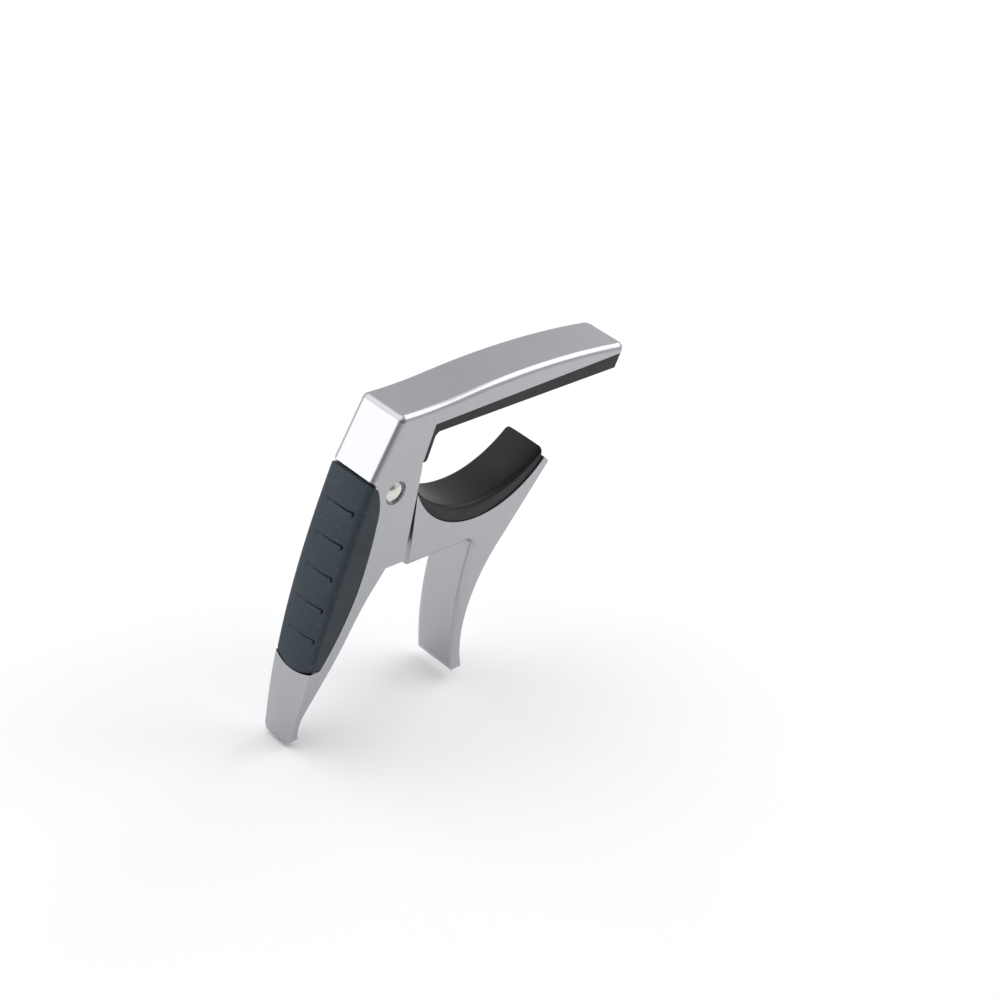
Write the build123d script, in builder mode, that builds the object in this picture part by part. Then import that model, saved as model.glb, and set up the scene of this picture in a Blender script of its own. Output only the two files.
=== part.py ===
from build123d import *
from math import acos, atan2, cos, hypot, pi, radians, sin, sqrt
import os

os.makedirs("parts", exist_ok=True)

# Spring-loaded guitar capo that grips a neck between a straight bar and a curved jaw.
# Frame: origin on the string pad's contact face, at its middle; X runs across the neck from the
# handle towards the free tips, Y runs along the neck, Z points up away from the strings.

# Overall widths along Y, as half widths from the middle plane
BODY_HALF = 6.5
CHANNEL_HALF = 4.25
LEVER_HALF = 6.25
STRING_PAD_HALF = 6.3
NECK_PAD_HALF = 5.9
TAIL_HALF = 4.3

# Bar and its string pad
PAD_CORNER = (-28.5, 0.0)
PAD_LEG_FOOT = (-29.8, -6.6)
BAR_INNER = (-29.6, 2.6)
BAR_TIP = (31.4, 4.0)
BAR_NOSE_X = 32.6
BAR_NOSE_TOP = 5.8
BAR_CREST_START = (-22.0, 7.4)
BAR_HEEL = (-40.3, 7.1)
BAR_NOSE_RADIUS = 2.2
BAR_EDGE_RADIUS = 1.5
HEEL_RADIUS = 1.8
KEY_HALF = 1.8
KEY_DEPTH = 0.9

# Handle, whose back is one large arc
BACK_CENTRE = (212.2, -75.2)
BACK_RADIUS = 267.8
BACK_CROWN = 0.9
BACK_CROWN_HALF = 5.0
BACK_EDGE_DEPTH = 1.5
BARREL_DEPTH = 38.0
GRIP_THICKNESS = 2.1
WEB_THICKNESS = 1.9
FACE_FOOT = (-46.1, -7.5)
TAIL_TOP = -53.5
CHEEK_EDGE_X = -31.3
CHEEK_BOTTOM = -32.5
CHEEK_CORNER_X = -36.9
CHEEK_CORNER_RADIUS = 5.0
TAIL_BOTTOM = -77.0
TAIL_CORNER = 2.8
TAIL_STEP = 0.2
TAPER_START = -26.0

# Hollow outline on the inside of the tail, from its lip up to the cheeks
TAIL_HOOK = ((-55.2, -76.4), (-54.2, TAIL_BOTTOM), (-53.2, TAIL_BOTTOM), (-52.7, -76.5), (-52.7, -75.4),
             (-53.3, -73.6), (-53.5, -71.6), (-53.4, -69.4), (-52.5, -66.9))
HANDLE_INNER = ((-49.0, -59.0), (-46.6, -53.5), (-41.9, -41.2), (-38.8, -35.6))

# Grip
GRIP_HALF = 6.6
GRIP_CORE_HALF = 4.95
GRIP_TOP = -6.9
GRIP_BOTTOM = -55.6
GROOVE_FIRST = -15.2
GROOVE_PITCH = 7.97
GROOVE_COUNT = 5
GROOVE_WIDTH = 0.7
GROOVE_DEPTH = 0.5
GROOVE_NEAR = -4.6
GROOVE_FAR = 3.9
NOTCH_SIZE = 1.0

# Pivot
PIN = (-38.3, -12.2)
PIN_RADIUS = 2.0
PIN_HEAD_RADIUS = 2.7
PIN_HEAD_HEIGHT = 1.05
PIN_RECESS_RADIUS = 2.9
PIN_RECESS_DEPTH = 0.8
SPIGOT_RADIUS = 1.3
SPIGOT_LENGTH = 0.55
RUNNING_FIT = 0.05
WASHER_THICKNESS = 0.3
WASHER_RADIUS = 4.6
SIDE_GAP = 0.05

# Clamp lever
EAR_OUTER = CHANNEL_HALF - WASHER_THICKNESS - 2 * SIDE_GAP
EAR_INNER = 2.5
EAR_RADIUS = 5.2
SHOULDER_TOP_X = -30.75
SHOULDER_FOOT = (-28.95, -35.0)
SADDLE_CENTRE = (-8.5, -3.7)
SADDLE_RADIUS = 25.0
JAW_END_X = 11.5
JAW_TIP = (13.3, -21.6)
TRIGGER_CORNER = (-7.3, -35.0)
TRIGGER_CORNER_RADIUS = 2.8
TRIGGER_BOTTOM = -75.3
TRIGGER_TIP_RADIUS = 2.1
TRIGGER_FRONT_RADIUS = 1.4
TRIGGER_BACK_RADIUS = 0.9

# Neck pad
NECK_PAD_CENTRE = (-9.2, 3.2)
NECK_PAD_RADIUS = 27.5
NECK_PAD_START_X = -30.5
NECK_PAD_END_X = 11.2
NECK_PAD_EDGE_RADIUS = 1.1

# Torsion spring and the bush that centres it
WIRE_RADIUS = 0.7
COIL_PITCH = 1.45
COIL_RADIUS = 3.6
WIRE_CLEARANCE = 0.15
BUSH_RADIUS = 2.75
BUSH_HALF = 2.4
BODY_LEG_END = (-47.3, -33.5)
LEVER_LEG_TILT = radians(20.5)
LEVER_LEG_LENGTH = 16.5
WHOLE_TURNS = 2


def on_arc(centre, radius, z, side):
    """Point at height z on a circle, on its left (-1) or right (+1) half."""
    return (centre[0] + side * sqrt(radius ** 2 - (z - centre[1]) ** 2), z)


def under_arc(centre, radius, x):
    """Point at x on the lower half of a circle."""
    return (x, centre[1] - sqrt(radius ** 2 - (x - centre[0]) ** 2))


def back_point(depth, z):
    """Point at height z on the handle's back, or depth below it."""
    return on_arc(BACK_CENTRE, BACK_RADIUS - depth, z, -1)


def long_edges(part, half, chosen):
    """Edges along the two side faces whose middle passes the chosen test."""
    on_side = part.edges().filter_by(lambda e: abs(abs(e.center().Y) - half) < 0.01)
    return on_side.filter_by(lambda e: chosen(e.center().X, e.center().Z))


# Handle barrel: the lightly crowned, round-edged back surface that the grip and tail share
with BuildPart() as handle_barrel:
    barrel_plane = Plane(origin=(BACK_CENTRE[0], 0, BACK_CENTRE[1]), x_dir=(-1, 0, -0.05),
                         z_dir=(-0.05, 0, 1))
    crown_edge = BACK_RADIUS - BACK_CROWN * (BACK_CROWN_HALF / BODY_HALF) ** 2
    with BuildSketch(barrel_plane):
        with BuildLine():
            crown_line = ThreePointArc((crown_edge, -BACK_CROWN_HALF), (BACK_RADIUS, 0),
                                       (crown_edge, BACK_CROWN_HALF))
            side_radius = crown_edge - BACK_EDGE_DEPTH
            for end, sign in ((crown_line @ 0, -1), (crown_line @ 1, 1)):
                heading = (-BACK_CROWN / BODY_HALF, sign)
                TangentArc(end, (side_radius, sign * GRIP_HALF), tangent=heading)
            Polyline((side_radius, -GRIP_HALF), (side_radius - BARREL_DEPTH, -GRIP_HALF),
                     (side_radius - BARREL_DEPTH, GRIP_HALF), (side_radius, GRIP_HALF))
        make_face()
    revolve(axis=Axis((BACK_CENTRE[0], 0, BACK_CENTRE[1]), (0, 1, 0)), revolution_arc=40)

# Trim that gives the bare tail the barrel's surface
with BuildPart() as tail_trim:
    with BuildSketch(Plane.XZ):
        with Locations((-54, (TAIL_TOP + TAIL_BOTTOM) / 2 - 1)):
            Rectangle(10, TAIL_TOP - TAIL_BOTTOM + 2)
    extrude(amount=BODY_HALF + 1, both=True)
    add(handle_barrel.part, mode=Mode.SUBTRACT)

# Grip envelope: the space that the rubber grip takes on the handle's back and sides
with BuildPart() as grip_envelope:
    with BuildSketch(Plane.XZ):
        with BuildLine():
            bottom = Line((-60, GRIP_BOTTOM - 2.0), (-52.2, GRIP_BOTTOM - 2.0))
            flank = ThreePointArc(bottom @ 1, (-43.9, -33.0), (-42.5, -19.5))
            shoulder = ThreePointArc(flank @ 1, (-42.9, -13.0), (-44.2, -9.5))
            Polyline(shoulder @ 1, (-46.6, -8.0), (-46.6, GRIP_TOP + 1), (-60, GRIP_TOP + 1), bottom @ 0)
        make_face()
    extrude(amount=GRIP_HALF, both=True)
    with BuildSketch(Plane.YZ.offset(-60)):
        with BuildLine():
            low = ThreePointArc((-8, GRIP_BOTTOM + 1.2), (0, GRIP_BOTTOM - 1.2), (8, GRIP_BOTTOM + 1.2))
            right = Line(low @ 1, (8, GRIP_TOP - 2.4))
            high = Spline(right @ 1, (5.4, GRIP_TOP - 0.8), (0, GRIP_TOP), (-5.4, GRIP_TOP - 0.8),
                          (-8, GRIP_TOP - 2.4))
            Line(high @ 1, low @ 0)
        make_face()
    extrude(amount=25, mode=Mode.INTERSECT)
    add(handle_barrel.part, mode=Mode.INTERSECT)

# Core of the handle that the grip wraps
with BuildPart() as grip_core:
    with BuildSketch(Plane.XZ):
        with BuildLine():
            upper = back_point(GRIP_THICKNESS, -2)
            lower = back_point(GRIP_THICKNESS, -62)
            ThreePointArc(upper, back_point(GRIP_THICKNESS, -32), lower)
            Polyline(lower, (-35, -62), (-35, -2), upper)
        make_face()
    extrude(amount=GRIP_CORE_HALF, both=True)

# Wedges that narrow the handle towards its tail, and round the tail's corners
with BuildPart() as tail_wedges:
    with BuildSketch(Plane.YZ.offset(-62)):
        with BuildLine():
            outside = Polyline((TAIL_HALF - TAIL_CORNER, TAIL_BOTTOM - 2), (BODY_HALF + 3, TAIL_BOTTOM - 2),
                               (BODY_HALF + 3, TAPER_START), (GRIP_HALF, TAPER_START))
            taper = TangentArc(outside @ 1, (TAIL_HALF, TAIL_BOTTOM + TAIL_CORNER), tangent=(0, -1))
            corner = RadiusArc(taper @ 1, (TAIL_HALF - TAIL_CORNER, TAIL_BOTTOM), TAIL_CORNER)
            Line(corner @ 1, outside @ 0)
        make_face()
        mirror(about=Plane.YZ)
    extrude(amount=32)

# Body casting: bar, cheeks and handle in one piece, with a channel for the lever and spring
with BuildPart() as body_casting:
    with BuildSketch(Plane.XZ) as body_profile:
        with BuildLine():
            Line(BAR_INNER, BAR_TIP)
            Polyline(BAR_TIP, (BAR_NOSE_X, 4.1), (BAR_NOSE_X, BAR_NOSE_TOP))
            heel_arc = TangentArc(BAR_HEEL, BAR_CREST_START, tangent=(1, -0.05))
            TangentArc(BAR_CREST_START, (BAR_NOSE_X, BAR_NOSE_TOP), tangent=heel_arc % 1)
            Line(BAR_HEEL, FACE_FOOT)
            floor_top = back_point(GRIP_THICKNESS, FACE_FOOT[1])
            floor_foot = back_point(GRIP_THICKNESS, TAIL_TOP)
            Polyline(FACE_FOOT, floor_top)
            ThreePointArc(floor_top, back_point(GRIP_THICKNESS, -32), floor_foot)
            tail_start = back_point(-TAIL_STEP, TAIL_TOP)
            tail_end = back_point(-TAIL_STEP, TAIL_BOTTOM + 1.7)
            Line(floor_foot, tail_start)
            ThreePointArc(tail_start, back_point(-TAIL_STEP, -65), tail_end)
            lip = Polyline(tail_end, *TAIL_HOOK)
            inner = Spline(lip @ 1, *HANDLE_INNER)
            Polyline(inner @ 1, (CHEEK_CORNER_X, CHEEK_BOTTOM), (CHEEK_EDGE_X, CHEEK_BOTTOM),
                     (CHEEK_EDGE_X, -8.0), (-31.5, -6.8), BAR_INNER)
        make_face()
        heel_corner = body_profile.vertices().sort_by_distance((*BAR_HEEL, 0))[0]
        cheek_corner = body_profile.vertices().sort_by_distance((CHEEK_CORNER_X, CHEEK_BOTTOM, 0))[0]
        fillet(heel_corner, radius=HEEL_RADIUS)
        fillet(cheek_corner, radius=CHEEK_CORNER_RADIUS)
    extrude(amount=BODY_HALF, both=True)
    nose_uprights = body_casting.edges().filter_by(Axis.Z).group_by(Axis.X)[-1]
    fillet(nose_uprights, radius=BAR_NOSE_RADIUS)
    crest = long_edges(body_casting, BODY_HALF, lambda x, z: z > 5.0 or x < -42 and z > -1)
    fillet(crest, radius=BAR_EDGE_RADIUS)
    # Channel between the cheeks, closed by the web along the handle's back
    with BuildSketch(Plane.XZ):
        with BuildLine():
            web_depth = GRIP_THICKNESS + WEB_THICKNESS
            web_top = back_point(web_depth, PIN[1])
            web_foot = back_point(web_depth, -52)
            crown = ThreePointArc((PIN[0], PIN[1] + 6.2), (PIN[0] - 4.4, PIN[1] + 4.4), web_top)
            ThreePointArc(web_top, back_point(web_depth, -32), web_foot)
            Polyline(web_foot, (-54.3, -67.0), (-48, -72), (-20, -72), (-20, -7.0), crown @ 0)
        make_face()
    extrude(amount=CHANNEL_HALF, both=True, mode=Mode.SUBTRACT)
    # Groove under the bar that keys the string pad
    with BuildSketch(Plane.XZ):
        Polygon((-25, 2.0), (27, 2.9), (27, 3.9 + KEY_DEPTH), (-25, 2.7 + KEY_DEPTH), align=None)
    extrude(amount=KEY_HALF, both=True, mode=Mode.SUBTRACT)
    # Pivot hole with a shallow seat for each pin head
    with BuildSketch(Plane.XZ.offset(-BODY_HALF)):
        with Locations(PIN):
            Circle(PIN_RADIUS)
    extrude(amount=2 * BODY_HALF, mode=Mode.SUBTRACT)
    for outward in (1, -1):
        with BuildSketch(Plane.XZ.offset(outward * BODY_HALF)):
            with Locations(PIN):
                Circle(PIN_RECESS_RADIUS)
        extrude(amount=-outward * PIN_RECESS_DEPTH, mode=Mode.SUBTRACT)
    # Recess for the grip, and the taper towards the tail
    add(grip_envelope.part - grip_core.part, mode=Mode.SUBTRACT)
    add(tail_trim.part, mode=Mode.SUBTRACT)
    add(tail_wedges.part, mode=Mode.SUBTRACT)
body_casting.part.label = "body_casting"

# Handle grip: rubber cap over the handle's back, with five short grooves for the palm
with BuildPart() as handle_grip:
    add(grip_envelope.part)
    add(tail_wedges.part, mode=Mode.SUBTRACT)
    add(grip_core.part, mode=Mode.SUBTRACT)
    for index in range(GROOVE_COUNT):
        groove_z = GROOVE_FIRST - index * GROOVE_PITCH
        groove_x = back_point(GROOVE_DEPTH, groove_z)[0]
        groove_middle = (GROOVE_NEAR + GROOVE_FAR) / 2
        with BuildSketch(Plane.YZ.offset(groove_x)):
            with Locations((groove_middle, groove_z)):
                SlotOverall(GROOVE_FAR - GROOVE_NEAR, GROOVE_WIDTH)
            with Locations((GROOVE_NEAR, groove_z)):
                Rectangle(NOTCH_SIZE, NOTCH_SIZE)
        extrude(amount=-2, mode=Mode.SUBTRACT)
handle_grip.part.label = "handle_grip"

# String pad: rubber strip under the bar with a short leg down the fingerboard's side
with BuildPart() as string_pad:
    with BuildSketch(Plane.XZ) as pad_profile:
        Polygon(BAR_INNER, BAR_TIP, (30.3, 0.0), PAD_CORNER, PAD_LEG_FOOT, (-30.6, -7.0), (-31.5, -6.8),
                align=None)
        pad_bend = pad_profile.vertices().sort_by_distance((*PAD_CORNER, 0))[0]
        chamfer(pad_bend, length=0.7)
    extrude(amount=STRING_PAD_HALF, both=True)
    with BuildSketch(Plane.XZ):
        Polygon((-24.5, 2.0), (26.5, 2.9), (26.5, 3.8 + KEY_DEPTH), (-24.5, 2.6 + KEY_DEPTH), align=None)
    extrude(amount=KEY_HALF - 0.05, both=True)
string_pad.part.label = "string_pad"

# Clamp lever: curved jaw, trigger, and two ears that straddle the spring on the pin
with BuildPart() as clamp_lever:
    with BuildSketch(Plane.XZ) as lever_profile:
        with BuildLine():
            shoulder_top = under_arc(SADDLE_CENTRE, SADDLE_RADIUS, SHOULDER_TOP_X)
            saddle_end = under_arc(SADDLE_CENTRE, SADDLE_RADIUS, JAW_END_X)
            saddle_low = under_arc(SADDLE_CENTRE, SADDLE_RADIUS, SADDLE_CENTRE[0])
            ThreePointArc(shoulder_top, saddle_low, saddle_end)
            Polyline(saddle_end, (JAW_TIP[0] - 0.2, JAW_TIP[1] + 1.6), JAW_TIP, (3.0, -37.7))
            hip = ThreePointArc((3.0, -37.7), (-2.1, -47.2), (-4.2, -56.0))
            shin = ThreePointArc(hip @ 1, (-4.3, -63.7), (-2.1, -73.2))
            toe = Polyline(shin @ 1, (-2.2, TRIGGER_BOTTOM), (-4.7, -74.9), (-5.5, -73.2))
            ThreePointArc(toe @ 1, (-8.3, -54.5), TRIGGER_CORNER)
            Polyline(TRIGGER_CORNER, SHOULDER_FOOT, shoulder_top)
        make_face()
        inner_corner = lever_profile.vertices().sort_by_distance((*TRIGGER_CORNER, 0))[0]
        fillet(inner_corner, radius=TRIGGER_CORNER_RADIUS)
        toe_corners = lever_profile.vertices().filter_by(lambda v: v.Y < -74)
        fillet(toe_corners, radius=0.6)
    extrude(amount=LEVER_HALF, both=True)
    trigger_front = long_edges(clamp_lever, LEVER_HALF, lambda x, z: -66 < z < -44 and x < -6)
    fillet(trigger_front, radius=TRIGGER_FRONT_RADIUS)
    trigger_back = long_edges(clamp_lever, LEVER_HALF, lambda x, z: -66 < z < -44 and x > -6)
    fillet(trigger_back, radius=TRIGGER_BACK_RADIUS)
    # Rounded corners at the trigger's tip
    with BuildSketch(Plane.YZ.offset(-10)):
        corner_y = LEVER_HALF - TRIGGER_TIP_RADIUS
        corner_z = TRIGGER_BOTTOM + TRIGGER_TIP_RADIUS
        with Locations((0, TRIGGER_BOTTOM)):
            Rectangle(2 * LEVER_HALF, 2 * TRIGGER_TIP_RADIUS)
            Rectangle(2 * corner_y, 2 * TRIGGER_TIP_RADIUS, mode=Mode.SUBTRACT)
        with Locations((corner_y, corner_z), (-corner_y, corner_z)):
            Circle(TRIGGER_TIP_RADIUS, mode=Mode.SUBTRACT)
    extrude(amount=10, mode=Mode.SUBTRACT)
    # Ears
    with BuildSketch(Plane.XZ):
        with Locations(PIN):
            Circle(EAR_RADIUS)
        Polygon((PIN[0] + 1.2, PIN[1] + 5.05), (-31.0, -15.4), (-28.0, -20.5), (-27.0, -30.5), (-30.4, -31.0),
                (-35.8, -24.0), (PIN[0] - 4.6, PIN[1] - 2.4), align=None)
    extrude(amount=EAR_OUTER, both=True)
    # Slot for the spring, whose right wall takes the spring's lower leg
    leg_start = (PIN[0] + COIL_RADIUS * cos(LEVER_LEG_TILT), PIN[1] + COIL_RADIUS * sin(LEVER_LEG_TILT))
    leg_run = (sin(LEVER_LEG_TILT), -cos(LEVER_LEG_TILT))
    leg_end = (leg_start[0] + LEVER_LEG_LENGTH * leg_run[0], leg_start[1] + LEVER_LEG_LENGTH * leg_run[1])
    wall = WIRE_RADIUS + WIRE_CLEARANCE
    with BuildSketch(Plane.XZ):
        Polygon((leg_start[0] + 0.2, -5), (leg_start[0] + wall, leg_start[1]),
                (leg_end[0] + wall, leg_end[1]), (leg_end[0] + wall, -32.0), (-50, -32.0), (-50, -5),
                align=None)
    extrude(amount=EAR_INNER, both=True, mode=Mode.SUBTRACT)
    with BuildSketch(Plane.XZ.offset(-BODY_HALF)):
        with Locations(PIN):
            Circle(PIN_RADIUS + RUNNING_FIT)
    extrude(amount=2 * BODY_HALF, mode=Mode.SUBTRACT)
clamp_lever.part.label = "clamp_lever"

# Neck pad: curved rubber cushion in the lever's saddle
with BuildPart() as neck_pad:
    with BuildSketch(Plane.XZ) as neck_pad_profile:
        with BuildLine():
            low_left = under_arc(SADDLE_CENTRE, SADDLE_RADIUS, NECK_PAD_START_X)
            low_right = under_arc(SADDLE_CENTRE, SADDLE_RADIUS, NECK_PAD_END_X)
            top_left = under_arc(NECK_PAD_CENTRE, NECK_PAD_RADIUS, NECK_PAD_START_X + 0.2)
            top_right = under_arc(NECK_PAD_CENTRE, NECK_PAD_RADIUS, NECK_PAD_END_X - 0.5)
            seat_low = under_arc(SADDLE_CENTRE, SADDLE_RADIUS, SADDLE_CENTRE[0])
            cushion_low = under_arc(NECK_PAD_CENTRE, NECK_PAD_RADIUS, NECK_PAD_CENTRE[0])
            ThreePointArc(low_left, seat_low, low_right)
            ThreePointArc(top_left, cushion_low, top_right)
            Line(low_left, top_left)
            Line(low_right, top_right)
        make_face()
    extrude(amount=NECK_PAD_HALF, both=True)
    pad_rim = long_edges(neck_pad, NECK_PAD_HALF, lambda x, z: hypot(
        x - NECK_PAD_CENTRE[0], z - NECK_PAD_CENTRE[1]) < NECK_PAD_RADIUS + 0.1)
    fillet(pad_rim, radius=NECK_PAD_EDGE_RADIUS)
neck_pad.part.label = "neck_pad"

# Pivot pin: domed head at the front, plain shaft, and a spigot for the cap at the back
head_floor = BODY_HALF - PIN_RECESS_DEPTH
dome_sphere = (PIN_HEAD_RADIUS ** 2 + PIN_HEAD_HEIGHT ** 2) / (2 * PIN_HEAD_HEIGHT)
with BuildPart() as pivot_pin:
    with BuildSketch(Plane.XZ.offset(-head_floor)):
        with Locations(PIN):
            Circle(PIN_RADIUS)
    extrude(amount=2 * head_floor)
    with BuildSketch(Plane.XZ.offset(-head_floor - SPIGOT_LENGTH)):
        with Locations(PIN):
            Circle(SPIGOT_RADIUS)
    extrude(amount=SPIGOT_LENGTH)
    with BuildSketch(Plane.XY.offset(PIN[1])):
        with BuildLine():
            head_line = Line((PIN[0], -head_floor), (PIN[0] + PIN_HEAD_RADIUS, -head_floor))
            crown_point = (PIN[0], -head_floor - PIN_HEAD_HEIGHT)
            RadiusArc(head_line @ 1, crown_point, dome_sphere)
            Line(crown_point, head_line @ 0)
        make_face()
    revolve(axis=Axis((PIN[0], 0, PIN[1]), (0, 1, 0)))
pivot_pin.part.label = "pivot_pin"

# Pin cap: matching dome pressed over the pin's spigot
with BuildPart() as pin_cap:
    with BuildSketch(Plane.XY.offset(PIN[1])):
        with BuildLine():
            cap_line = Line((PIN[0], head_floor), (PIN[0] + PIN_HEAD_RADIUS, head_floor))
            cap_crown = (PIN[0], head_floor + PIN_HEAD_HEIGHT)
            RadiusArc(cap_line @ 1, cap_crown, -dome_sphere)
            Line(cap_crown, cap_line @ 0)
        make_face()
    revolve(axis=Axis((PIN[0], 0, PIN[1]), (0, 1, 0)))
    with BuildSketch(Plane.XZ.offset(-head_floor)):
        with Locations(PIN):
            Circle(SPIGOT_RADIUS)
    extrude(amount=-SPIGOT_LENGTH, mode=Mode.SUBTRACT)
pin_cap.part.label = "pin_cap"

# Thrust washers between the ears and the cheeks
washer_near_start = EAR_OUTER + SIDE_GAP
for washer_name, outward in (("thrust_washer_front", 1), ("thrust_washer_rear", -1)):
    with BuildPart() as thrust_washer:
        with BuildSketch(Plane.XZ.offset(outward * washer_near_start)):
            with Locations(PIN):
                Circle(WASHER_RADIUS)
                Circle(PIN_RADIUS + RUNNING_FIT, mode=Mode.SUBTRACT)
        extrude(amount=outward * WASHER_THICKNESS)
    thrust_washer.part.label = washer_name
    export_step(thrust_washer.part, f"parts/{washer_name}.step")

# Spring bush: plastic sleeve on the pin that keeps the coil centred
with BuildPart() as spring_bush:
    with BuildSketch(Plane.XZ.offset(-BUSH_HALF)):
        with Locations(PIN):
            Circle(BUSH_RADIUS)
            Circle(PIN_RADIUS + RUNNING_FIT, mode=Mode.SUBTRACT)
    extrude(amount=2 * BUSH_HALF)
spring_bush.part.label = "spring_bush"

# Torsion spring: one leg along the web, a close coil, and one leg in the lever's slot
web_leg = Vector(BODY_LEG_END[0] - PIN[0], 0, BODY_LEG_END[1] - PIN[1])
start_angle = atan2(web_leg.Z, web_leg.X) - acos(COIL_RADIUS / web_leg.length)
turns = WHOLE_TURNS + ((start_angle - LEVER_LEG_TILT) / (2 * pi)) % 1
coil_height = turns * COIL_PITCH
web_leg_length = sqrt(web_leg.length ** 2 - COIL_RADIUS ** 2)
coil_plane = Plane(origin=(PIN[0], -coil_height / 2, PIN[1]), z_dir=(0, 1, 0),
                   x_dir=(cos(start_angle), 0, sin(start_angle)))
coil = coil_plane * Helix(pitch=COIL_PITCH, height=coil_height, radius=COIL_RADIUS)
coil_start = coil @ 0
coil_end = coil @ 1
web_leg_end = coil_start - web_leg_length * Vector(sin(start_angle), 0, -cos(start_angle))
with BuildPart() as torsion_spring:
    with BuildLine() as spring_wire:
        Line(web_leg_end, coil_start)
        add(coil)
        Line(coil_end, coil_end + LEVER_LEG_LENGTH * Vector(leg_run[0], 0, leg_run[1]))
    with BuildSketch(Plane(origin=web_leg_end, z_dir=coil_start - web_leg_end)):
        Circle(WIRE_RADIUS)
    sweep(path=spring_wire.wire())
torsion_spring.part.label = "torsion_spring"

for piece in (body_casting, handle_grip, string_pad, clamp_lever, neck_pad, pivot_pin, pin_cap,
              spring_bush, torsion_spring):
    export_step(piece.part, f"parts/{piece.part.label}.step")
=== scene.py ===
"""Looks of a spring-loaded guitar capo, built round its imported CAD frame.

Sizes of the capo's pieces are named in millimetres and turned into metres where meshes are made. Textures,
lights and the camera are in metres.
The frame's X runs from the handle towards the free tips, Y runs along the neck and Z points up.
"""
import math

import bmesh
import bpy
import numpy as np
from mathutils import Matrix, Vector


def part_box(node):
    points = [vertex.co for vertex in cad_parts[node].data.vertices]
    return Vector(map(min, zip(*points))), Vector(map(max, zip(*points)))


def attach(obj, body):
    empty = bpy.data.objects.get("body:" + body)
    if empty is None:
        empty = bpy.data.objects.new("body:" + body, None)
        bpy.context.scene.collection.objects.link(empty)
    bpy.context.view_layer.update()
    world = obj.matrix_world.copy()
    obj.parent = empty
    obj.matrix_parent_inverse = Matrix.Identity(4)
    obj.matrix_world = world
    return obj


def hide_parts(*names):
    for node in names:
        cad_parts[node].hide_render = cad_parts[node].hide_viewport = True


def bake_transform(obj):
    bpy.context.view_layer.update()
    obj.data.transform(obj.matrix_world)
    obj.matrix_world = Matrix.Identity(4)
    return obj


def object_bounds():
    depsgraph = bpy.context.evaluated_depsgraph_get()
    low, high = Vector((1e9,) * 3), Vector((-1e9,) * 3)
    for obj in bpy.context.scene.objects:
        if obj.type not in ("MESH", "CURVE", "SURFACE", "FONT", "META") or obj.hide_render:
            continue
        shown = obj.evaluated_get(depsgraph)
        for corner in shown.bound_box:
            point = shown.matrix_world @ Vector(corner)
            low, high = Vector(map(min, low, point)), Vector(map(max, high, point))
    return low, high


MM = 0.001
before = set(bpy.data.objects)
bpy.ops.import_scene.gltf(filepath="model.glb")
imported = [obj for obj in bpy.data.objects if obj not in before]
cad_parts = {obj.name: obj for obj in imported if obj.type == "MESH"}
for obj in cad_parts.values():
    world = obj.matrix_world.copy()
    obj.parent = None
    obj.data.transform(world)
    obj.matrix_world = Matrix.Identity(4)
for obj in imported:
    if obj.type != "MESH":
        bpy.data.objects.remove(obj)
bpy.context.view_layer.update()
scene = bpy.context.scene

# Handle grip, on the same crowned barrel as the casting's back
BACK_CENTRE = (212.2, -75.2)
BACK_RADIUS = 267.8
CROWN_DROP = 0.9 * (5.0 / 6.5) ** 2
CROWN_HALF = 5.0
EDGE_DEPTH = 1.5
EDGE_FADE = 5
GRIP_HALF = 6.6
TAPER_TOP = -26.0
TAPER_RADIUS = 506.2
GRIP_TOP = -6.9
GRIP_BOTTOM = -56.8
GRIP_TOP_FALL = 1.45
GRIP_TOP_CURVE = 2.6
GRIP_BOTTOM_RISE = 1.6
GRIP_LIP = 0.45
GRIP_SHELL = 1.3
FLAP_SHELL = 0.42
GRIP_ROWS = 430
GRIP_ROW_EDGE = 0.4
BACK_COLUMNS = 46
SIDE_COLUMNS = 14
FLANK_LOW = ((-52.2, -57.6), (-43.9, -33.0), (-42.5, -19.5))
FLANK_HIGH = ((-42.5, -19.5), (-42.9, -13.0), (-44.2, -9.5))
FLANK_SLOPE = ((-44.2, -9.5), (-46.6, -8.0))
POCKET_FIRST = -15.0
POCKET_PITCH = 7.97
POCKET_COUNT = 5
POCKET_DEPTH = 0.42
POCKET_LENGTH = 3.6
SLIT_DEPTH = 0.62
SLIT_WIDTH = 0.2
NOTCH_LENGTH = 1.5
NOTCH_WIDTH = 0.24
NOTCH_INSET = 0.3
POCKET_NEAR = -4.75
POCKET_FAR = 4.0
POCKET_NEAR_RAMP = 0.28
POCKET_FAR_RAMP = 1.6
POCKET_STEP = 0.22
POCKET_BOW = 0.22
POCKET_FADE = 2.2

# Neck pad in the lever's saddle
SADDLE_CENTRE = (-8.5, -3.7)
SADDLE_RADIUS = 25.0
CUSHION_CENTRE = (-9.2, 3.2)
CUSHION_RADIUS = 27.5
CUSHION_CROWN = 0.12
CUSHION_START = 0.2
CUSHION_END = 0.5
CUSHION_SHOULDER = 1.1
CUSHION_FOOT = 0.25
CUSHION_END_ROUND = 0.7
CUSHION_SLICES = 90

# Torsion spring
WIRE_RADIUS = 0.7
COIL_PITCH = 1.45
COIL_RADIUS = 3.6
BODY_LEG_END = (-47.3, -33.5)
LEVER_LEG_TILT = math.radians(20.5)
LEVER_LEG_LENGTH = 16.5
LEG_START = 0.8
WHOLE_TURNS = 2
STEPS_PER_TURN = 48
WIRE_SIDES = 20
WIRE_CHAMFER = 0.15
WIRE_END_SHARE = 0.78

# Rounded edges of the CAD shapes
CRISP_ANGLE = 25.0
BEVEL_STEPS = 3
MERGE_DISTANCE = 0.002
FLAT_ANGLE = 0.25


# ---------------------------------------------------------------- materials


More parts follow.
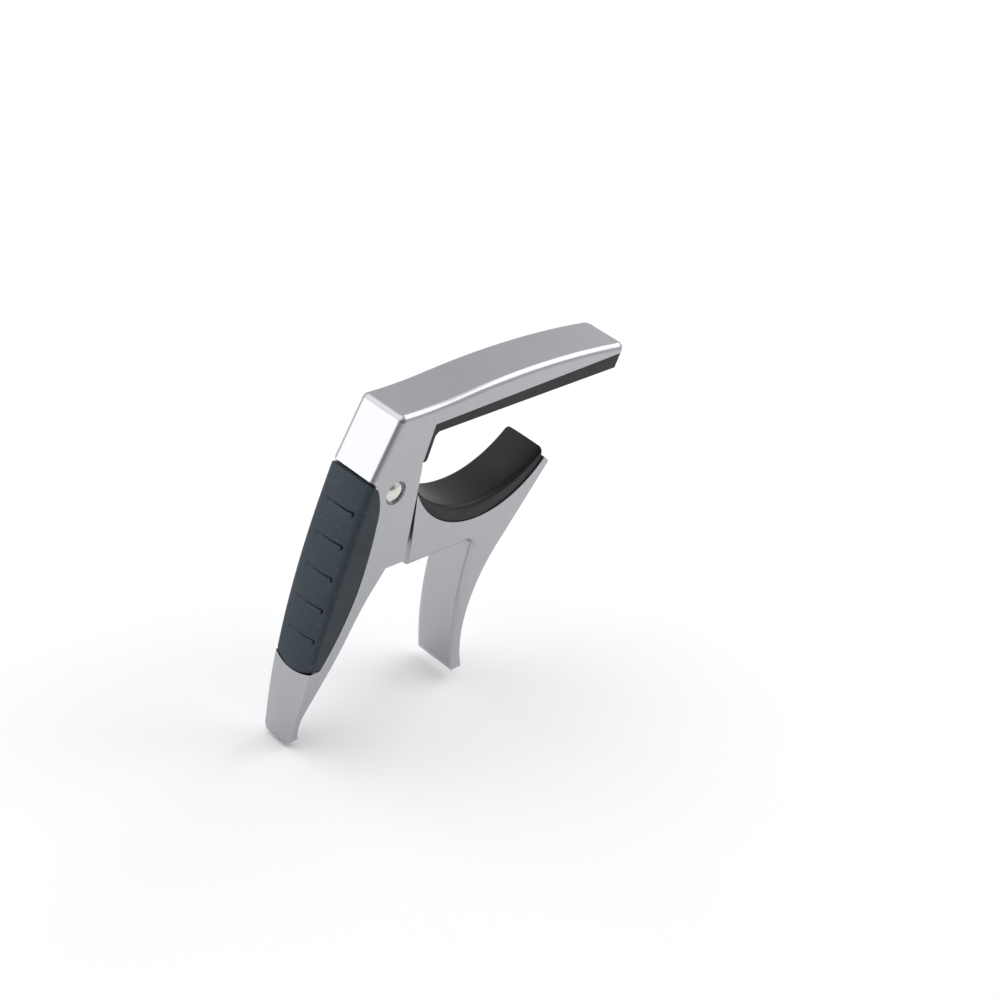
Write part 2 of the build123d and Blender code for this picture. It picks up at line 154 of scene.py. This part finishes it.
class Shader:
    """A new material with its Principled node, and short calls that add the nodes round it."""

    def __init__(self, name, colour, metallic=0.0, roughness=0.5, **sockets):
        self.material = bpy.data.materials.new(name)
        self.material.use_nodes = True
        self.tree = self.material.node_tree
        self.bsdf = self.tree.nodes["Principled BSDF"]
        self.bsdf.inputs["Base Color"].default_value = (*colour, 1)
        self.bsdf.inputs["Metallic"].default_value = metallic
        self.bsdf.inputs["Roughness"].default_value = roughness
        for socket, value in sockets.items():
            self.bsdf.inputs[socket.replace("_", " ")].default_value = value
        self.place = self.add("ShaderNodeTexCoord").outputs["Object"]
        self.height = None

    def add(self, kind, **settings):
        node = self.tree.nodes.new(kind)
        for name, value in settings.items():
            setattr(node, name, value)
        return node

    def join(self, source, target):
        self.tree.links.new(source, target)

    def stretched(self, scale, offset=(0, 0, 0)):
        """Object coordinates, shifted and then scaled, so that a pattern can run along one way."""
        node = self.add("ShaderNodeMapping", vector_type="POINT")
        node.inputs["Scale"].default_value = scale
        node.inputs["Location"].default_value = offset
        self.join(self.place, node.inputs["Vector"])
        return node.outputs["Vector"]

    def noise(self, scale, detail=2.0, vector=None, rough=0.5):
        node = self.add("ShaderNodeTexNoise")
        node.inputs["Scale"].default_value = scale
        node.inputs["Detail"].default_value = detail
        node.inputs["Roughness"].default_value = rough
        self.join(vector or self.place, node.inputs["Vector"])
        return node.outputs["Fac"]

    def ranged(self, value, low, high, to_low, to_high):
        node = self.add("ShaderNodeMapRange")
        limits = {"From Min": low, "From Max": high, "To Min": to_low, "To Max": to_high}
        for socket, number in limits.items():
            node.inputs[socket].default_value = number
        self.join(value, node.inputs["Value"])
        return node.outputs["Result"]

    def combine(self, operation, a, b):
        node = self.add("ShaderNodeMath", operation=operation)
        for socket, value in zip(node.inputs, (a, b)):
            if isinstance(value, (int, float)):
                socket.default_value = value
            else:
                self.join(value, socket)
        return node.outputs["Value"]

    def mixed(self, factor, a, b):
        """Colour between a and b; each is a colour or an output."""
        node = self.add("ShaderNodeMix", data_type="RGBA")
        self.join(factor, node.inputs["Factor"])
        for socket, value in ((node.inputs[6], a), (node.inputs[7], b)):
            if isinstance(value, tuple):
                socket.default_value = (*value, 1)
            else:
                self.join(value, socket)
        return node.outputs[2]

    def bump(self, value, strength, depth):
        """One more layer of relief, depth in metres."""
        node = self.add("ShaderNodeBump")
        node.inputs["Strength"].default_value = strength
        node.inputs["Distance"].default_value = depth
        self.join(value, node.inputs["Height"])
        if self.height is not None:
            self.join(self.height, node.inputs["Normal"])
        self.height = node.outputs["Normal"]
        self.join(self.height, self.bsdf.inputs["Normal"])

    def edges(self, low, high):
        """1 on outward edges and 0 on flat or hollow places."""
        return self.ranged(self.add("ShaderNodeNewGeometry").outputs["Pointiness"], low, high, 0.0, 1.0)


def satin_metal():
    """Fine-blasted, plated casting: soft drawn streaks and a cloudy sheen."""
    s = Shader("Satin_metal", (0.45, 0.45, 0.46), metallic=1.0, roughness=0.32)
    clouds = s.noise(60, 3)
    streaks = s.noise(1, 2, s.stretched((50, 50, 700)))
    s.join(s.mixed(clouds, (0.405, 0.408, 0.424), (0.440, 0.443, 0.458)), s.bsdf.inputs["Base Color"])
    dull = s.ranged(clouds, 0.3, 0.7, 0.27, 0.31)
    s.join(s.combine("ADD", dull, s.ranged(streaks, 0.3, 0.7, -0.008, 0.012)), s.bsdf.inputs["Roughness"])
    return s.material


def grip_rubber():
    """Slate rubber with a fine moulded grain and scattered pale specks."""
    s = Shader("Grip_rubber", (0.04, 0.055, 0.065), roughness=0.55, Specular_IOR_Level=0.34)
    clouds = s.noise(160, 3)
    specks = s.ranged(s.noise(1500, 3), 0.60, 0.80, 0.0, 0.55)
    base = s.mixed(clouds, (0.012, 0.022, 0.030), (0.020, 0.033, 0.043))
    worn = s.edges(0.51, 0.60)
    base = s.mixed(s.ranged(worn, 0, 1, 0, 0.4), base, (0.065, 0.080, 0.090))
    s.join(s.mixed(specks, base, (0.075, 0.098, 0.112)), s.bsdf.inputs["Base Color"])
    s.join(s.ranged(clouds, 0.3, 0.7, 0.48, 0.60), s.bsdf.inputs["Roughness"])
    s.bump(s.noise(5200, 3), 0.35, 0.00005)
    s.bump(s.noise(900, 2), 0.12, 0.00008)
    return s.material


def pad_rubber():
    """Near-black soft rubber, smooth with a faint mould grain."""
    s = Shader("Pad_rubber", (0.008, 0.008, 0.009), roughness=0.40, Specular_IOR_Level=0.25)
    clouds = s.noise(120, 3)
    s.join(s.mixed(clouds, (0.005, 0.005, 0.006), (0.010, 0.010, 0.012)), s.bsdf.inputs["Base Color"])
    s.join(s.ranged(clouds, 0.3, 0.7, 0.34, 0.46), s.bsdf.inputs["Roughness"])
    s.bump(s.noise(3600, 2), 0.16, 0.00004)
    return s.material


def pin_steel(centre):
    """Polished nickel with faint turning rings about the pin's axis."""
    s = Shader("Pin_steel", (0.72, 0.70, 0.66), metallic=1.0, roughness=0.14)
    rings = s.add("ShaderNodeTexWave", wave_type="RINGS", rings_direction="Y")
    rings.inputs["Scale"].default_value = 1400
    rings.inputs["Distortion"].default_value = 0.4
    s.join(s.stretched((1, 1, 1), tuple(-c for c in centre)), rings.inputs["Vector"])
    clouds = s.noise(900, 3)
    s.join(s.mixed(clouds, (0.62, 0.60, 0.565), (0.76, 0.735, 0.69)), s.bsdf.inputs["Base Color"])
    s.join(s.ranged(clouds, 0.3, 0.7, 0.09, 0.2), s.bsdf.inputs["Roughness"])
    s.bump(rings.outputs["Fac"], 0.05, 0.00002)
    return s.material


def spring_steel():
    """Dark drawn wire with a thin film of oil and small scuffs."""
    s = Shader("Spring_steel", (0.2, 0.2, 0.21), metallic=1.0, roughness=0.28)
    scuffs = s.noise(1800, 4, rough=0.7)
    s.join(s.mixed(scuffs, (0.13, 0.13, 0.14), (0.34, 0.33, 0.32)), s.bsdf.inputs["Base Color"])
    s.join(s.ranged(scuffs, 0.3, 0.7, 0.2, 0.42), s.bsdf.inputs["Roughness"])
    s.bump(scuffs, 0.15, 0.00002)
    return s.material


def bush_plastic():
    """Natural nylon with a waxy sheen and faint mould clouding."""
    s = Shader("Bush_plastic", (0.72, 0.70, 0.64), roughness=0.42, Subsurface_Weight=0.05)
    clouds = s.noise(420, 3)
    s.join(s.mixed(clouds, (0.64, 0.61, 0.54), (0.76, 0.74, 0.68)), s.bsdf.inputs["Base Color"])
    s.join(s.ranged(clouds, 0.3, 0.7, 0.36, 0.5), s.bsdf.inputs["Roughness"])
    s.bump(s.noise(4200, 2), 0.12, 0.00003)
    return s.material


# ---------------------------------------------------------------- geometry helpers


def show(mesh, name, material, slot, body, *nodes):
    """Puts a finished mesh in the scene as the piece that stands for these CAD nodes."""
    mesh.materials.clear()
    mesh.materials.append(material)
    piece = bpy.data.objects.new(name, mesh)
    scene.collection.objects.link(piece)
    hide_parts(*nodes)
    if body:
        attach(piece, body)
    return piece


def smooth(mesh, sharp_angle):
    """Smooth shading, broken only at edges sharper than the angle."""
    mesh.polygons.foreach_set("use_smooth", [True] * len(mesh.polygons))
    mesh.set_sharp_from_angle(angle=math.radians(sharp_angle))
    mesh.update()


def even_normals(mesh, flat=0.4, crease=50.0):
    """Shading normals that favour the widest flat stretch round each vertex, so flat faces stay flat and the
    rounded edges between them shade smoothly. Faces within flat degrees are one stretch, and a turn of more
    than crease degrees stays sharp."""
    count = len(mesh.polygons)
    normals = np.zeros(count * 3)
    areas = np.zeros(count)
    mesh.polygons.foreach_get("normal", normals)
    mesh.polygons.foreach_get("area", areas)
    normals = normals.reshape(-1, 3)
    around_edge = {}
    around_vertex = {}
    for face in mesh.polygons:
        for key in face.edge_keys:
            around_edge.setdefault(key, []).append(face.index)
        for vertex in face.vertices:
            around_vertex.setdefault(vertex, []).append(face.index)
    group = list(range(count))

    def root(index):
        while group[index] != index:
            group[index] = group[group[index]]
            index = group[index]
        return index

    level = math.cos(math.radians(flat))
    for faces in around_edge.values():
        if len(faces) == 2 and normals[faces[0]] @ normals[faces[1]] > level:
            group[root(faces[0])] = root(faces[1])
    roots = np.array([root(i) for i in range(count)])
    stretch = np.bincount(roots, weights=areas, minlength=count)[roots]
    bend = math.cos(math.radians(crease))
    corner_normals = np.zeros((len(mesh.loops), 3))
    for face in mesh.polygons:
        for loop in face.loop_indices:
            near = around_vertex[mesh.loops[loop].vertex_index]
            near = [i for i in near if normals[i] @ normals[face.index] > bend] or [face.index]
            total = (normals[near] * (stretch[near] ** 2)[:, None]).sum(0)
            corner_normals[loop] = total / max(np.linalg.norm(total), 1e-30)
    mesh.normals_split_custom_set(corner_normals.tolist())


def finished(node, name, material, slot, body, width):
    """The CAD node's own shape with its flat faces merged and its crisp edges rounded to a width in mm."""
    mesh = bpy.data.meshes.new(name)
    work = bmesh.new()
    work.from_mesh(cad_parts[node].data)
    bmesh.ops.remove_doubles(work, verts=work.verts, dist=MERGE_DISTANCE * MM)
    bmesh.ops.dissolve_limit(work, angle_limit=math.radians(FLAT_ANGLE), verts=work.verts, edges=work.edges)
    bmesh.ops.dissolve_degenerate(work, edges=work.edges, dist=MERGE_DISTANCE * MM)
    work.to_mesh(mesh)
    work.free()
    for layer in ("custom_normal", "sharp_edge", "sharp_face"):
        if layer in mesh.attributes:
            mesh.attributes.remove(mesh.attributes[layer])
    mesh.polygons.foreach_set("use_smooth", [True] * len(mesh.polygons))
    shaper = bpy.data.objects.new(name + "_shaper", mesh)
    scene.collection.objects.link(shaper)
    bevel = shaper.modifiers.new("Rounded_edges", "BEVEL")
    bevel.width = width * MM
    bevel.segments = BEVEL_STEPS
    bevel.limit_method = "ANGLE"
    bevel.angle_limit = math.radians(CRISP_ANGLE)
    bevel.miter_outer = "MITER_ARC"
    view = bpy.context.evaluated_depsgraph_get()
    rounded = bpy.data.meshes.new_from_object(shaper.evaluated_get(view))
    rounded.name = name
    bpy.data.objects.remove(shaper)
    even_normals(rounded)
    return show(rounded, name, material, slot, body, node)


def solid_mesh(name, points, faces):
    """Closed mesh from points in mm and faces, with every face turned outwards."""
    mesh = bpy.data.meshes.new(name)
    mesh.from_pydata((points * MM).tolist(), [], faces)
    work = bmesh.new()
    work.from_mesh(mesh)
    bmesh.ops.recalc_face_normals(work, faces=work.faces)
    work.to_mesh(mesh)
    work.free()
    return mesh


def lofted(name, rings):
    """Mesh from closed loops of points (loops, points, 3) in mm, joined in turn, each end fanned shut."""
    rings = np.asarray(rings, float)
    rows, columns = rings.shape[:2]
    points = rings.reshape(-1, 3)
    faces = []
    for i in range(rows - 1):
        for j in range(columns):
            k = (j + 1) % columns
            faces.append((i * columns + j, i * columns + k, (i + 1) * columns + k, (i + 1) * columns + j))
    for row, flip in ((0, True), (rows - 1, False)):
        middle = len(points)
        points = np.vstack([points, rings[row].mean(0)])
        for j in range(columns):
            k = (j + 1) % columns
            pair = (row * columns + j, row * columns + k)
            faces.append((*(pair[::-1] if flip else pair), middle))
    return solid_mesh(name, points, faces)


def circle_through(a, b, c):
    """Centre and radius of the circle through three points."""
    rows = np.array([[b[0] - a[0], b[1] - a[1]], [c[0] - a[0], c[1] - a[1]]], float) * 2
    sums = [b[0] ** 2 + b[1] ** 2 - a[0] ** 2 - a[1] ** 2, c[0] ** 2 + c[1] ** 2 - a[0] ** 2 - a[1] ** 2]
    centre = np.linalg.solve(rows, sums)
    return centre, math.hypot(centre[0] - a[0], centre[1] - a[1])


def steps_with_ends(count, edge, length):
    """Values from 0 to length, even in the middle and crowded over the last edge at each end."""
    quarter = edge * (1 - np.cos(np.linspace(0, math.pi / 2, 7)))
    middle = np.linspace(edge, length - edge, count)
    return np.concatenate([quarter[:-1], middle, length - quarter[:-1][::-1]])


def rounding(distance, radius):
    """How far a rounded rim lies below the surface, at a distance in from its border."""
    inside = np.clip(radius - distance, 0, radius)
    return radius - np.sqrt(np.maximum(radius ** 2 - inside ** 2, 0))


# ---------------------------------------------------------------- handle grip


def flank_x(z):
    """X of the grip's side border at height z."""
    low_centre, low_radius = circle_through(*FLANK_LOW)
    high_centre, high_radius = circle_through(*FLANK_HIGH)
    low = low_centre[0] + np.sqrt(np.maximum(low_radius ** 2 - (z - low_centre[1]) ** 2, 0))
    high = high_centre[0] + np.sqrt(np.maximum(high_radius ** 2 - (z - high_centre[1]) ** 2, 0))
    (foot_x, foot_z), (head_x, head_z) = FLANK_SLOPE
    slope = foot_x + (z - foot_z) * (head_x - foot_x) / (head_z - foot_z)
    return np.where(z > foot_z, slope, np.where(z > FLANK_HIGH[0][1], high, low))


def grip_section(count_back, count_side):
    """Half the grip's section, from the middle of its back to its side border: the share of its half width,
    the drop below the crown line, the share of the way down the side, and how far its normal is tilted."""
    crown_radius = (CROWN_HALF ** 2 + CROWN_DROP ** 2) / (2 * CROWN_DROP)
    tilt_crown = np.linspace(0, math.asin(CROWN_HALF / crown_radius), count_back)
    y_crown = crown_radius * np.sin(tilt_crown)
    drop_crown = crown_radius * (1 - np.cos(tilt_crown))
    edge_wide = GRIP_HALF - CROWN_HALF
    start = tilt_crown[-1]
    turn = np.linspace(start, math.pi / 2, 13)[1:]
    y_edge = CROWN_HALF + edge_wide * (np.sin(turn) - math.sin(start)) / (1 - math.sin(start))
    drop_edge = CROWN_DROP + EDGE_DEPTH * (math.cos(start) - np.cos(turn)) / math.cos(start)
    y = np.concatenate([y_crown, y_edge])
    drop = np.concatenate([drop_crown, drop_edge])
    crowded = 1 - 0.15 * np.cos(np.linspace(0, math.pi / 2, 9))
    side = np.concatenate([np.linspace(0, 0.85, count_side)[1:], crowded[1:]])
    flap = np.concatenate([np.zeros(len(y)), side])
    return (np.concatenate([y, np.full(len(side), GRIP_HALF)]) / GRIP_HALF,
            np.concatenate([drop, np.full(len(side), drop[-1])]), flap,
            np.concatenate([tilt_crown, turn, np.full(len(side), math.pi / 2)]))


def pocket_depth(y, z):
    """Depth of the five thumb pockets: a crisp step along the top and near end, fading out downwards."""
    depth = np.zeros_like(z)
    across = (np.clip((y - POCKET_NEAR) / POCKET_NEAR_RAMP, 0, 1)
              * np.clip((POCKET_FAR - y) / POCKET_FAR_RAMP, 0, 1))
    across = across * across * (3 - 2 * across)
    for index in range(POCKET_COUNT):
        top = POCKET_FIRST - index * POCKET_PITCH - POCKET_BOW * (1 - (y / CROWN_HALF) ** 2)
        below = top - z
        step = np.clip(below / POCKET_STEP, 0, 1)
        fade = np.clip(1 - (below - POCKET_STEP) / POCKET_LENGTH, 0, 1)
        depth += POCKET_DEPTH * step * step * (3 - 2 * step) * fade ** POCKET_FADE * across
        tail_off = np.clip((POCKET_FAR - y) / 8, 0.25, 1)
        slit = np.exp(-((below - SLIT_WIDTH) / SLIT_WIDTH) ** 2) * across * tail_off
        notch_reach = np.clip(below / 0.2, 0, 1) * np.clip((NOTCH_LENGTH - below) / 0.7, 0, 1)
        notch = np.exp(-((y - POCKET_NEAR - NOTCH_INSET) / NOTCH_WIDTH) ** 2) * notch_reach
        depth += SLIT_DEPTH * np.maximum(slit, notch)
    return depth


def make_grip(material):
    """Rubber cap that wraps the handle's back: an outer skin with the pockets, an inner skin and a rim."""
    across, drop, flap, tilt = grip_section(BACK_COLUMNS, SIDE_COLUMNS)
    across = np.concatenate([-across[:0:-1], across])
    drop = np.concatenate([drop[:0:-1], drop])
    flap = np.concatenate([flap[:0:-1], flap])
    tilt = np.concatenate([-tilt[:0:-1], tilt])
    rise = steps_with_ends(GRIP_ROWS, GRIP_ROW_EDGE, GRIP_TOP - GRIP_BOTTOM) / (GRIP_TOP - GRIP_BOTTOM)
    v, u = np.meshgrid(rise, across, indexing="ij")
    drop, flap, tilt = (np.broadcast_to(row, v.shape) for row in (drop, flap, tilt))
    y_full = u * GRIP_HALF

    def back_x(z):
        """X of the grip's back at height z."""
        return BACK_CENTRE[0] - np.sqrt((BACK_RADIUS - drop) ** 2 - (z - BACK_CENTRE[1]) ** 2)

    top = GRIP_TOP - GRIP_TOP_FALL * (np.abs(y_full) / GRIP_HALF) ** GRIP_TOP_CURVE
    (foot_x, foot_z), (head_x, head_z) = FLANK_SLOPE
    top = np.minimum(top, foot_z + (back_x(top) - foot_x) * (head_z - foot_z) / (head_x - foot_x))
    bottom = GRIP_BOTTOM + GRIP_BOTTOM_RISE * (y_full / GRIP_HALF) ** 2
    z = bottom + v * (top - bottom)
    below = np.maximum(TAPER_TOP - z, 0)
    half = GRIP_HALF - (TAPER_RADIUS - np.sqrt(TAPER_RADIUS ** 2 - below ** 2))
    y = u * half
    fade = (half / GRIP_HALF) ** EDGE_FADE
    drop = np.where(drop > CROWN_DROP, CROWN_DROP + (drop - CROWN_DROP) * fade, drop)
    back = back_x(z)
    border_x = np.maximum(flank_x(z), back)
    base = np.stack([back + flap * (border_x - back), y, z], -1)
    outward = np.stack([base[..., 0] - BACK_CENTRE[0], np.zeros_like(z), z - BACK_CENTRE[1]], -1)
    outward /= np.linalg.norm(outward, axis=-1, keepdims=True)
    normal = outward * np.cos(tilt)[..., None]
    normal[..., 1] += np.sin(tilt)
    length = top - bottom
    run = border_x - base[..., 0]
    border = np.minimum(np.minimum(v * length, (1 - v) * length), np.where(flap > 0, run, 9.0))
    sink = rounding(border, GRIP_LIP) + pocket_depth(y, z) * (flap == 0)
    toward_side = np.clip(np.abs(u) * 6 - 4.6, 0, 1)
    shell = GRIP_SHELL + (FLAP_SHELL - GRIP_SHELL) * toward_side
    outer = base - normal * sink[..., None]
    inner = base - normal * (shell + sink)[..., None]

    rows, columns = v.shape
    points = np.concatenate([outer.reshape(-1, 3), inner.reshape(-1, 3)])
    shift = rows * columns
    faces = []
    for i in range(rows - 1):
        for j in range(columns - 1):
            a, b = i * columns + j, (i + 1) * columns + j
            faces.append((a, a + 1, b + 1, b))
            faces.append((shift + a, shift + b, shift + b + 1, shift + a + 1))
    rim = ([(0, j) for j in range(columns)] + [(i, columns - 1) for i in range(1, rows)]
           + [(rows - 1, j) for j in range(columns - 2, -1, -1)] + [(i, 0) for i in range(rows - 2, 0, -1)])
    for (i, j), (k, m) in zip(rim, rim[1:] + rim[:1]):
        a, b = i * columns + j, k * columns + m
        faces.append((a, shift + a, shift + b, b))
    mesh = solid_mesh("Handle_grip", points, faces)
    smooth(mesh, 40)
    return show(mesh, "Handle_grip", material, "grip_rubber", "body", "handle_grip")


# ---------------------------------------------------------------- neck pad


def make_neck_pad(material):
    """Rubber cushion swept along the saddle: flat below, crowned and round-shouldered above."""
    low, high = (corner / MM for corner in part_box("neck_pad"))
    start, end, half = low.x, high.x, high.y

    def section(inset, thick):
        """Closed loop of (across, height share, height offset) for one slice, shrunk by an inset."""
        inset = min(inset, 0.4 * thick)
        wide = half - inset
        corner = min(CUSHION_SHOULDER - inset * 0.3, 0.6 * (thick - inset))
        rise = min(CUSHION_FOOT, 0.3 * (thick - inset))
        turn = np.linspace(0, math.pi / 2, 9)
        y_side = wide - corner + corner * np.cos(turn)
        off_side = -inset - corner + corner * np.sin(turn)
        y_top = np.linspace(wide - corner, corner - wide, 19)[1:-1]
        off_top = np.full_like(y_top, -inset)
        low_turn = np.linspace(-math.pi / 2, 0, 5)
        y_foot = wide - rise + rise * np.cos(low_turn)
        off_foot = rise + rise * np.sin(low_turn)
        y = np.concatenate([y_foot, y_side, y_top, -y_side[::-1], -y_foot[::-1]])
        on_foot = np.zeros_like(y_foot)
        share = np.concatenate([on_foot, np.ones(2 * len(y_side) + len(y_top)), on_foot])
        offset = np.concatenate([off_foot, off_side, off_top, off_side[::-1], off_foot[::-1]])
        return y, share, offset - CUSHION_CROWN * share * (y / half) ** 2

    rings = []
    for x in start + steps_with_ends(CUSHION_SLICES, CUSHION_END_ROUND, end - start):
        along = (x - start) / (end - start)
        top_x = start + CUSHION_START + along * (end - start - CUSHION_START - CUSHION_END)
        foot_z = SADDLE_CENTRE[1] - math.sqrt(SADDLE_RADIUS ** 2 - (x - SADDLE_CENTRE[0]) ** 2)
        top_z = CUSHION_CENTRE[1] - math.sqrt(CUSHION_RADIUS ** 2 - (top_x - CUSHION_CENTRE[0]) ** 2)
        thick = math.hypot(top_x - x, top_z - foot_z)
        way_x, way_z = (top_x - x) / thick, (top_z - foot_z) / thick
        distance = min(x - start, end - x)
        y, share, offset = section(float(rounding(np.array(distance), CUSHION_END_ROUND)), thick)
        lift = share * thick + offset
        rings.append(np.stack([x + lift * way_x, y, foot_z + lift * way_z], -1))
    mesh = lofted("Neck_pad", rings)
    smooth(mesh, 50)
    piece = show(mesh, "Neck_pad", material, "pad_rubber", "lever", "neck_pad")
    return piece


# ---------------------------------------------------------------- torsion spring


def spring_route(pin):
    """Centreline of the wire in mm: body leg, coil about the pin, lever leg."""
    leg = np.array([BODY_LEG_END[0] - pin.x, BODY_LEG_END[1] - pin.z])
    reach = np.hypot(*leg)
    start = math.atan2(leg[1], leg[0]) - math.acos(COIL_RADIUS / reach)
    turns = WHOLE_TURNS + ((start - LEVER_LEG_TILT) / (2 * math.pi)) % 1
    height = turns * COIL_PITCH
    angle = start - np.linspace(0, turns * 2 * math.pi, int(turns * STEPS_PER_TURN) + 1)
    rise = np.linspace(-height / 2, height / 2, len(angle))
    coil_x = pin.x + COIL_RADIUS * np.cos(angle)
    coil_z = pin.z + COIL_RADIUS * np.sin(angle)
    coil = np.stack([coil_x, pin.y + rise, coil_z], -1)
    leg_length = math.sqrt(reach ** 2 - COIL_RADIUS ** 2)
    body_way = np.array([-math.sin(start), 0, math.cos(start)])
    lever_way = np.array([math.sin(LEVER_LEG_TILT), 0, -math.cos(LEVER_LEG_TILT)])
    body_leg = coil[0] + np.linspace(leg_length, LEG_START, 24)[:, None] * body_way
    lever_leg = coil[-1] + np.linspace(LEG_START, LEVER_LEG_LENGTH, 20)[:, None] * lever_way
    return np.concatenate([body_leg, coil[1:-1], lever_leg]), height


def make_spring(material, pin):
    """Round wire with chamfered ends, coiled about the pin from the body leg to the lever leg."""
    route, height = spring_route(pin)
    ahead = np.gradient(route, axis=0)
    ahead /= np.linalg.norm(ahead, axis=1, keepdims=True)
    around = np.linspace(0, 2 * math.pi, WIRE_SIDES, endpoint=False)
    up = np.array([0.0, 1.0, 0.0])
    rings = []
    for point, way in zip(route, ahead):
        first = np.cross(way, up)
        first /= np.linalg.norm(first)
        second = np.cross(way, first)
        loop = WIRE_RADIUS * (np.cos(around)[:, None] * first + np.sin(around)[:, None] * second)
        rings.append(point + loop)
    first_end = route[0] + (rings[0] - route[0]) * WIRE_END_SHARE
    last_end = route[-1] + (rings[-1] - route[-1]) * WIRE_END_SHARE
    rings[0] = rings[0] + WIRE_CHAMFER * ahead[0]
    rings[-1] = rings[-1] - WIRE_CHAMFER * ahead[-1]
    rings = [first_end, *rings, last_end]
    mesh = lofted("Torsion_spring", rings)
    smooth(mesh, 50)
    piece = show(mesh, "Torsion_spring", material, "spring_steel", None, "torsion_spring")
    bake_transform(piece)
    return piece


# ---------------------------------------------------------------- floor, lights and surroundings


def plain_floor():
    """Large pale sheet just under the capo's lowest point."""
    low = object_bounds()[0]
    half = 4.0
    clearance = 0.0003
    mesh = bpy.data.meshes.new("Floor")
    corners = [(-half, -half, 0), (half, -half, 0), (half, half, 0), (-half, half, 0)]
    mesh.from_pydata(corners, [], [(0, 1, 2, 3)])
    floor = bpy.data.objects.new("Floor", mesh)
    floor.location = (0, 0, low.z - clearance)
    scene.collection.objects.link(floor)
    paint = Shader("Floor_paint", (0.86, 0.86, 0.86), roughness=0.9, Specular_IOR_Level=0.1)
    paint.join(paint.mixed(paint.noise(8, 2), (0.85, 0.85, 0.85), (0.88, 0.88, 0.88)),
               paint.bsdf.inputs["Base Color"])
    mesh.materials.append(paint.material)


def softbox(name, toward, distance, size, radiance):
    """Rectangular light in a direction from the capo's middle, facing it, with an even brightness. Metres."""
    aim = Vector((-0.02, 0, -0.03))
    light = bpy.data.lights.new(name, "AREA")
    light.shape = "RECTANGLE"
    light.size, light.size_y = size
    light.energy = radiance * math.pi * size[0] * size[1]
    lamp = bpy.data.objects.new(name, light)
    way = Vector(toward).normalized()
    lamp.location = aim + way * distance
    lamp.rotation_mode = "QUATERNION"
    lamp.rotation_quaternion = way.to_track_quat("Z", "Y")
    scene.collection.objects.link(lamp)


def studio_world(base, dark, toward, start, spread=0.45):
    """Even pale surroundings with one soft dark side, which gives the rounded metal edges their contrast."""
    world = bpy.data.worlds.new("Studio")
    world.use_nodes = True
    tree = world.node_tree
    place = tree.nodes.new("ShaderNodeTexCoord")
    facing = tree.nodes.new("ShaderNodeVectorMath")
    facing.operation = "DOT_PRODUCT"
    facing.inputs[1].default_value = Vector(toward).normalized()
    fall = tree.nodes.new("ShaderNodeMapRange")
    fall.interpolation_type = "SMOOTHSTEP"
    fall.inputs["From Min"].default_value = start
    fall.inputs["From Max"].default_value = start + spread
    mix = tree.nodes.new("ShaderNodeMix")
    mix.data_type = "RGBA"
    mix.inputs[6].default_value = (*base, 1)
    mix.inputs[7].default_value = (*dark, 1)
    tree.links.new(place.outputs["Generated"], facing.inputs[0])
    tree.links.new(facing.outputs["Value"], fall.inputs["Value"])
    tree.links.new(fall.outputs["Result"], mix.inputs["Factor"])
    tree.links.new(mix.outputs[2], tree.nodes["Background"].inputs["Color"])
    scene.world = world


# ---------------------------------------------------------------- the capo

pin_low, pin_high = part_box("pivot_pin")
pin_centre = (pin_low + pin_high) / 2
pin_centre.y = 0.0

metal = satin_metal()
soft = pad_rubber()
nickel = pin_steel(pin_centre)
nylon = bush_plastic()

finished("body_casting", "Body_casting", metal, "satin_metal", "body", 0.3)
finished("clamp_lever", "Clamp_lever", metal, "satin_metal", "lever", 0.3)
string_pad = finished("string_pad", "String_pad", soft, "pad_rubber", "body", 0.3)
finished("pivot_pin", "Pivot_pin", nickel, "pin_steel", "body", 0.1)
finished("pin_cap", "Pin_cap", nickel, "pin_steel", "body", 0.1)
finished("spring_bush", "Spring_bush", nylon, "bush_plastic", "body", 0.12)
finished("thrust_washer_front", "Thrust_washer_front", nylon, "bush_plastic", "body", 0.06)
finished("thrust_washer_rear", "Thrust_washer_rear", nylon, "bush_plastic", "body", 0.06)
make_grip(grip_rubber())
make_neck_pad(soft)
make_spring(spring_steel(), pin_centre / MM)


# ---------------------------------------------------------------- the studio and the camera

plain_floor()
softbox("Left_softbox", (-0.86, 0.51, 0.16), 0.70, (0.60, 0.46), 1.8)
softbox("Right_softbox", (0.70, -0.12, 0.58), 0.80, (0.76, 0.40), 2.6)
softbox("Overhead", (-0.35, 0.4, 1.0), 1.20, (1.3, 1.3), 1.1)
studio_world((0.77, 0.77, 0.79), (0.22, 0.22, 0.24), (-0.45, -0.88, 0.05), 0.38)
scene.view_settings.view_transform = "Standard"

camera_data = bpy.data.cameras.new("Camera")
camera_data.sensor_width = 36.0
camera_data.lens = 79.84
camera_data.clip_start = 0.01
camera_data.clip_end = 20.0
camera = bpy.data.objects.new("Camera", camera_data)
right = Vector((0.6812, -0.7078, 0.1870))
up = Vector((0.2773, 0.4858, 0.8289))
back = Vector((-0.6776, -0.5128, 0.5272))
camera.matrix_world = Matrix.Translation((-0.3450, -0.2662, 0.2409)) @ Matrix(
    (right, up, back)).transposed().to_4x4()
scene.collection.objects.link(camera)
scene.camera = camera
